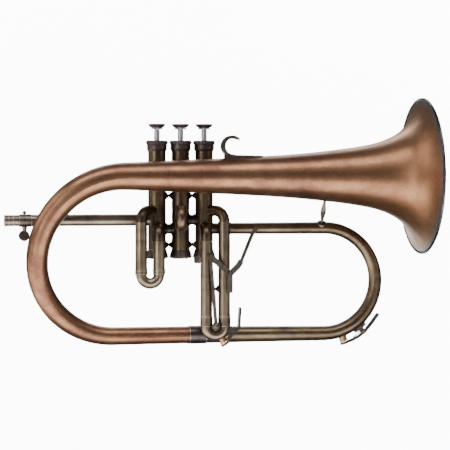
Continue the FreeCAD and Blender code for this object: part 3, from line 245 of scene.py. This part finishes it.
key_metal = worn_metal("key_blackened_brass", (0.020, 0.017, 0.017), (0.066, 0.058, 0.057),
                       (0.18, 0.162, 0.150), 0.34, 0.6, 110.0)
# Painted shade: the rim bead's near-black tone stands in for the shadow gap behind the bead; its zone adds a
# painted highlight line on the outer edge.
rim_metal = worn_metal("rim_bead_painted_shade", (0.018, 0.017, 0.018), (0.055, 0.053, 0.057),
                       (0.17, 0.165, 0.175), 0.30, 0.5, 70.0, zones=RIM_PAINTED_HIGHLIGHT)
bright_line = worn_metal("worn_bright_edge", (0.30, 0.25, 0.20), (0.50, 0.44, 0.37), (0.70, 0.64, 0.56),
                         0.30, 0.3, 140.0)
nylon = plain_stuff("guide_nylon", (0.62, 0.60, 0.55), (0.78, 0.76, 0.70), 0.5, 300.0)
cork = plain_stuff("key_cork", (0.26, 0.16, 0.09), (0.52, 0.36, 0.22), 0.8, 700.0)
felt = plain_stuff("valve_felt", (0.020, 0.018, 0.018), (0.060, 0.055, 0.054), 0.95, 1500.0)

BY_NODE = {
    "bell": copper, "bell_rim": rim_metal, "bell_ferrule": ferrule_metal,
    "lower_branch": tube_metal, "front_bow": tube_metal, "upper_branch": tube_metal,
    "leadpipe": pipe_metal, "tuning_shank": pipe_metal, "leadpipe_clamp": fitting_metal,
    "crossover_tubes": stay_metal, "turned_stays": stay_metal,
    "slide_knuckles": casing_metal, "valve_guides": nylon,
    "front_drain_nipple": drain_metal, "slide_key_nipple": nipple_metal,
    "front_key_cork": cork, "slide_key_cork": cork,
}
BY_START = [
    ("valve_casing", casing_metal), ("top_cap", cap_metal), ("bottom_cap", cap_metal),
    ("button", cap_metal), ("stem", stem_metal), ("piston", piston_metal), ("spring", spring_metal),
    ("slide_1", slide_metal), ("slide_2", casing_metal), ("slide_3", slide_metal),
    ("front_key", key_metal), ("slide_key", key_metal),
]


def material_for(node):
    """Material of a CAD node, by its name or by how the name starts."""
    if node in BY_NODE:
        return BY_NODE[node]
    for start, material in BY_START:
        if node.startswith(start):
            return material
    return fitting_metal


for name, item in NODES.items():
    for index in range(len(item.material_slots)):
        item.material_slots[index].material = material_for(name)
    if not item.material_slots:
        item.data.materials.append(material_for(name))


# ---------------------------------------------------------------- mesh helpers

def finish_mesh(name, mesh, body, material, smooth_angle=35.0):
    """Puts a mesh in the scene, smooth but for its sharp edges, on its body and slot."""
    for polygon in mesh.polygons:
        polygon.use_smooth = True
    item = bpy.data.objects.new(name, mesh)
    bpy.context.scene.collection.objects.link(item)
    item.data.materials.append(material)
    mesh.set_sharp_from_angle(angle=math.radians(smooth_angle))
    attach(item, body)
    return item


def lathe(name, profile, base, axis, body, material, around=48):
    """Closed ring turned from (radius, height) corners about an axis, in millimetres."""
    turn = Vector((0, 0, 1)).rotation_difference(Vector(axis)).to_matrix().to_4x4()
    place = Matrix.Translation(Vector(base) * MM) @ turn
    mesh = bpy.data.meshes.new(name)
    work = bmesh.new()
    rings = []
    for step in range(around):
        angle = 2 * math.pi * step / around
        rings.append([work.verts.new(place @ Vector((radius * math.cos(angle) * MM,
                                                     radius * math.sin(angle) * MM, height * MM)))
                      for radius, height in profile])
    count = len(profile)
    for step in range(around):
        here, there = rings[step], rings[(step + 1) % around]
        for index in range(count):
            after = (index + 1) % count
            work.faces.new((here[index], there[index], there[after], here[after]))
    bmesh.ops.recalc_face_normals(work, faces=work.faces)
    work.to_mesh(mesh)
    work.free()
    return finish_mesh(name, mesh, body, material)


def wire(name, points, radius, body, material, around=16):
    """Round wire that follows a smooth curve through points in millimetres."""
    curve = bpy.data.curves.new(name + "_path", "CURVE")
    curve.dimensions = "3D"
    curve.bevel_depth = radius * MM
    curve.bevel_resolution = around // 4
    curve.use_fill_caps = True
    spline = curve.splines.new("NURBS")
    spline.points.add(len(points) - 1)
    for point, spot in zip(spline.points, points):
        point.co = (spot[0] * MM, spot[1] * MM, spot[2] * MM, 1.0)
    spline.order_u = 3
    spline.use_endpoint_u = True
    source = bpy.data.objects.new(name + "_source", curve)
    mesh = bpy.data.meshes.new_from_object(source)
    bpy.data.objects.remove(source)
    mesh.materials.clear()
    mesh.name = name
    return finish_mesh(name, mesh, body, material, 60.0)


def centre_of(node):
    """Middle of a node's box, in millimetres."""
    low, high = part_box(node)
    return [(low[axis] + high[axis]) / 2 / MM for axis in range(3)]


def low_of(node, axis):
    """Lowest place of a node along an axis, in millimetres."""
    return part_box(node)[0][axis] / MM


def high_of(node, axis):
    """Highest place of a node along an axis, in millimetres."""
    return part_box(node)[1][axis] / MM


# ---------------------------------------------------------------- small fittings on the valves

CAP_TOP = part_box("top_cap_1")[1][2] / MM
CAP_KNURL_R = 10.5
BOTTOM_KNURL_R = 10.9
BUTTON_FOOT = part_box("button_1")[0][2] / MM
FELT_HIGH = 1.5
FELT_GAP = 0.1
FELT = [(2.95, 0.0), (5.3, 0.0), (5.6, 0.4), (5.6, 1.1), (5.2, FELT_HIGH), (2.95, FELT_HIGH)]
KNURL_COUNT = 56
KNURL_RIDGE = 0.16
KNURL_GROOVE = -0.10
KNURL_BEVEL = 0.25
KNURL_DEEP = 0.6


def knurled_band(name, centre, low, high, radius, body, material):
    """Band of fine upright ridges round a cap."""
    mesh = bpy.data.meshes.new(name)
    work = bmesh.new()
    steps = KNURL_COUNT * 2
    levels = [(low, -KNURL_BEVEL), (low + KNURL_BEVEL, 0.0), (high - KNURL_BEVEL, 0.0), (high, -KNURL_BEVEL)]
    inner = radius - KNURL_DEEP
    rings = []
    for step in range(steps):
        angle = 2 * math.pi * step / steps
        lift = KNURL_RIDGE if step % 2 else KNURL_GROOVE
        face = [(radius + inset + lift, height) for height, inset in levels]
        column = [(inner, low)] + face + [(inner, high)]
        rings.append([work.verts.new(((centre[0] + reach * math.cos(angle)) * MM,
                                      (centre[1] + reach * math.sin(angle)) * MM, height * MM))
                      for reach, height in column])
    count = len(rings[0])
    for step in range(steps):
        here, there = rings[step], rings[(step + 1) % steps]
        for index in range(count):
            after = (index + 1) % count
            work.faces.new((here[index], there[index], there[after], here[after]))
    bmesh.ops.recalc_face_normals(work, faces=work.faces)
    work.to_mesh(mesh)
    work.free()
    return finish_mesh(name, mesh, body, material, 20.0)


for number in (1, 2, 3):
    middle = centre_of("top_cap_%d" % number)
    knurled_band("top_cap_knurl_%d" % number, middle, CAP_TOP - 3.1, CAP_TOP - 0.75, CAP_KNURL_R,
                 "horn", cap_metal)
    pad = lathe("valve_felt_%d" % number, FELT, (middle[0], middle[1], BUTTON_FOOT - FELT_GAP - FELT_HIGH),
                UPRIGHT, "valve_%d" % number, felt)
    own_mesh(pad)
SPRING_TURNS = 9
POINTS_PER_TURN = 16
SPRING_WIRE_R = 0.45


def coil_route(node):
    """Points of a coil spring between its two seats, in millimetres, from the node's box."""
    low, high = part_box(node)
    middle = centre_of(node)
    reach = (high[0] - low[0]) / 2 / MM - SPRING_WIRE_R
    bottom, top = low[2] / MM + SPRING_WIRE_R, high[2] / MM - SPRING_WIRE_R
    steps = SPRING_TURNS * POINTS_PER_TURN
    route = []
    for step in range(steps + 1):
        angle = 2 * math.pi * step / POINTS_PER_TURN
        route.append((middle[0] + reach * math.cos(angle), middle[1] + reach * math.sin(angle),
                      bottom + (top - bottom) * step / steps))
    return route


for number in (1, 2, 3):
    route = coil_route("spring_%d" % number)
    coil = wire("coil_spring_%d" % number, route, SPRING_WIRE_R, "valve_%d" % number,
                spring_metal)
    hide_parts("spring_%d" % number)
    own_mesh(coil)
BOTTOM_RIM = {1: 1.4, 2: 1.4, 3: 6.0}
for number in (1, 2, 3):
    middle = centre_of("bottom_cap_%d" % number)
    rim = low_of("bottom_cap_%d" % number, 2) + BOTTOM_RIM[number]
    knurled_band("bottom_cap_knurl_%d" % number, middle, rim + 0.2, rim + 1.5, BOTTOM_KNURL_R,
                 "horn", cap_metal)


# ---------------------------------------------------------------- soldered rings and worn bright lines


def ring(name, centre, axis, inner, outer, half, body, material):
    """Small rounded ring round a tube, centred on a point."""
    profile = [(inner, -half), (outer - half * 0.5, -half), (outer, -half * 0.4), (outer, half * 0.4),
               (outer - half * 0.5, half), (inner, half)]
    return lathe(name, profile, centre, axis, body, material)


LEG_R = 6.05


def leg_centres(node):
    """Axes of a slide's two upright legs, from the node's box."""
    depth = centre_of(node)[1]
    return [(low_of(node, 0) + LEG_R, depth), (high_of(node, 0) - LEG_R, depth)]


LONG_LEG_TOP = -2.4
SHORT_LEG_TOP = -20.6
for number, leg_tops in ((1, (LONG_LEG_TOP, SHORT_LEG_TOP)), (3, (SHORT_LEG_TOP, LONG_LEG_TOP))):
    legs = leg_centres("slide_%d_outer_legs" % number)
    leg_end = low_of("slide_%d_outer_legs" % number, 2)
    sleeve_end = low_of("slide_%d_inner_legs" % number, 2)
    for side, (spot, top) in enumerate(zip(legs, leg_tops)):
        for label, level, radius, body in (
                ("top", top, 5.95, "horn"), ("foot", leg_end + 0.55, 6.22, "horn"),
                ("sleeve", leg_end - 0.75, 6.18, "slide_%d" % number),
                ("bow", sleeve_end + 0.5, 6.18, "slide_%d" % number)):
            if label == "top" and number == 3 and side == 0:
                radius += 0.05
            ring("slide_%d_%s_line_%d" % (number, label, side + 1), (spot[0], spot[1], level), UPRIGHT,
                 5.5, radius, 0.30, body, bright_line)

ferrule_low, ferrule_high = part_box("bell_ferrule")
ferrule_r = (ferrule_high[1] - ferrule_low[1]) / 2 / MM
ferrule_z = (ferrule_low[2] + ferrule_high[2]) / 2 / MM
for label, place in (("tail", ferrule_low[0] / MM + 0.5), ("branch", ferrule_high[0] / MM - 0.5)):
    ring("ferrule_line_" + label, (place, 0, ferrule_z), ALONG_X, ferrule_r - 0.6, ferrule_r + 0.12, 0.32,
         "horn", bright_line)

clamp_low, clamp_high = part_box("leadpipe_clamp")
for label, place in (("back", clamp_low[0] / MM + 0.4), ("front", clamp_high[0] / MM - 0.4)):
    ring("clamp_line_" + label, (place, 0, 0), ALONG_X, 5.75, 6.14, 0.25, "horn",
         bright_line)
for number, place in enumerate((4.6, 8.6), start=1):
    ring("shank_bead_%d" % number, (place, 0, 0), ALONG_X, 5.0, 5.62, 0.5, "tuning_shank",
         bright_line)
for number in (1, 2, 3):
    middle = centre_of("valve_casing_%d" % number)
    foot = high_of("bottom_cap_%d" % number, 2)
    ring("casing_foot_line_%d" % number, (middle[0], 0, foot + 0.45), UPRIGHT, 8.2, 8.85, 0.30,
         "horn", bright_line)
for number, level in ((1, -8.8), (2, 0.0)):
    start = high_of("valve_casing_%d" % number, 0)
    end = low_of("valve_casing_%d" % (number + 1), 0)
    for side, place in ((1, start + 0.55), (2, end - 0.55)):
        ring("crossover_flange_%d_%d" % (number, side), (place, 0, level), ALONG_X, 4.6, 5.7, 0.5,
             "horn", stay_metal)

HINGES = {joint["name"]: [place / MM for place in joint["pos_m"]] for joint in frame["joints"]
          if joint["type"] == "hinge"}
FRONT_SPRING = [(-0.1, 2.3), (-2.3, 1.4), (-3.5, -0.6), (-6.5, -3.4), (-9.9, -5.9)]
SLIDE_SPRING = [(-1.3, 1.6), (-3.1, 0.0), (-4.1, -2.8), (-6.1, -5.0)]
SPRING_SPREAD = 1.1


def key_springs(name, hinge, route, radius, body):
    """Pair of wires that leave a key's hinge and press on its arm."""
    for label, side in (("left", -1), ("right", 1)):
        points = [(hinge[0] + along_key, hinge[1] + side * SPRING_SPREAD, hinge[2] + up)
                  for along_key, up in route]
        wire("%s_spring_%s" % (name, label), points, radius, body, spring_metal)


key_springs("front_key", HINGES["front_key_press"], FRONT_SPRING, 0.32, "front_key")
key_springs("slide_key", HINGES["slide_key_press"], SLIDE_SPRING, 0.30, "slide_key")


# ---------------------------------------------------------------- stage, lights and camera

CENTRE = Vector((0.21, -0.01, 0.0))
FLOOR_DROP = 1.10
COVE_REACH = 3.1
COVE_SWEEP = 1.3
COVE_TOP = 2.8
COVE_SIDES = 96
SWEEP_STEPS = 16


def stage_cove():
    """Round pale floor that sweeps up into a wall on every side."""
    floor_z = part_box("front_key_lever")[0][2] - FLOOR_DROP
    outline = [(0.0, floor_z)]
    for step in range(SWEEP_STEPS + 1):
        angle = math.radians(90 * step / SWEEP_STEPS)
        outline.append((COVE_REACH - COVE_SWEEP + COVE_SWEEP * math.sin(angle),
                        floor_z + COVE_SWEEP - COVE_SWEEP * math.cos(angle)))
    outline.append((COVE_REACH, COVE_TOP))
    mesh = bpy.data.meshes.new("cove")
    work = bmesh.new()
    middle = work.verts.new((CENTRE.x, CENTRE.y, floor_z))
    circles = []
    for reach, height in outline[1:]:
        circles.append([work.verts.new((CENTRE.x + reach * math.cos(2 * math.pi * step / COVE_SIDES),
                                        CENTRE.y + reach * math.sin(2 * math.pi * step / COVE_SIDES), height))
                        for step in range(COVE_SIDES)])
    for step in range(COVE_SIDES):
        after = (step + 1) % COVE_SIDES
        work.faces.new((middle, circles[0][step], circles[0][after]))
        for lower, upper in zip(circles, circles[1:]):
            work.faces.new((lower[step], upper[step], upper[after], lower[after]))
    bmesh.ops.recalc_face_normals(work, faces=work.faces)
    work.to_mesh(mesh)
    work.free()
    for polygon in mesh.polygons:
        polygon.use_smooth = True
    item = bpy.data.objects.new("cove", mesh)
    bpy.context.scene.collection.objects.link(item)
    material, tree, shader = new_material("cove_paper")
    grain = noise(tree, coordinates(tree), 3.0, 2.0, 0.5)
    tree.links.new(ramp(tree, grain, [(0.3, grey(0.94)), (0.7, grey(0.96))]), shader.inputs["Base Color"])
    shader.inputs["Roughness"].default_value = 0.9
    item.data.materials.append(material)
    item.visible_glossy = False


stage_cove()


def softbox(name, spot, width, height, power, colour=(1, 1, 1), aim=CENTRE):
    """Rectangular area light that the camera doesn't see, turned to its aim."""
    light = bpy.data.lights.new(name, "AREA")
    light.shape = "RECTANGLE"
    light.size = width
    light.size_y = height
    light.energy = power
    light.color = colour
    item = bpy.data.objects.new(name, light)
    item.location = spot
    item.rotation_euler = (aim - Vector(spot)).to_track_quat("-Z", "Y").to_euler()
    item.visible_camera = False
    bpy.context.scene.collection.objects.link(item)
    return item


softbox("key_top", (0.05, -0.62, 1.05), 1.5, 0.48, 10.5, (1.0, 0.94, 0.87))
softbox("floor_bounce", (0.15, -0.50, -0.40), 1.6, 0.55, 10.5, (1.0, 0.93, 0.85), Vector((0.22, -0.25, 0.2)))
softbox("side_left", (-1.00, -1.10, 0.05), 0.5, 1.2, 6.5, (1.0, 0.96, 0.93))
softbox("left_wall", (-1.30, 0.10, 0.75), 1.2, 0.9, 6.5, (1.0, 0.93, 0.85))
softbox("left_floor", (-0.75, 0.05, -0.40), 0.7, 0.8, 5.0, (1.0, 0.92, 0.80), Vector((-0.20, 0.05, 0.2)))
softbox("side_right", (1.40, -0.80, 0.10), 0.4, 1.0, 1.2)
softbox("rear_fill", (0.3, 1.10, 1.05), 1.2, 0.4, 9.0)
softbox("rear_low", (0.3, 1.20, -0.30), 1.4, 0.4, 4.0)
WASH_POWER = 420.0
WASH_OUT = 0.8
WASH_HIGH = 2.5
WASH_SPREAD = math.radians(110)
WASH_COUNT = 4
for number in range(WASH_COUNT):
    heading = math.radians(45 + 90 * number)
    outward = Vector((math.cos(heading), math.sin(heading), 0))
    spot = CENTRE + outward * WASH_OUT + Vector((0, 0, WASH_HIGH))
    wash = softbox("backdrop_wash_%d" % (number + 1), spot, 2.4, 0.8, WASH_POWER,
                   aim=CENTRE + outward * COVE_REACH)
    wash.data.spread = WASH_SPREAD
    wash.visible_glossy = False

world = bpy.data.worlds.new("studio")
bpy.context.scene.world = world
world.use_nodes = True
background = world.node_tree.nodes["Background"]
background.inputs["Color"].default_value = (0.9, 0.95, 1.0, 1.0)
background.inputs["Strength"].default_value = 0.14

camera_data = bpy.data.cameras.new("photo_camera")
camera_data.lens = 131.07
camera_data.sensor_width = 36.0
camera_data.clip_end = 20.0
camera = bpy.data.objects.new("photo_camera", camera_data)
camera.location = (-0.07185, -1.57335, 0.04760)
aim_point = Vector((0.21408, 0.0, -0.00545))
camera.rotation_euler = (aim_point - camera.location).to_track_quat("-Z", "Y").to_euler()
bpy.context.scene.collection.objects.link(camera)
bpy.context.scene.camera = camera
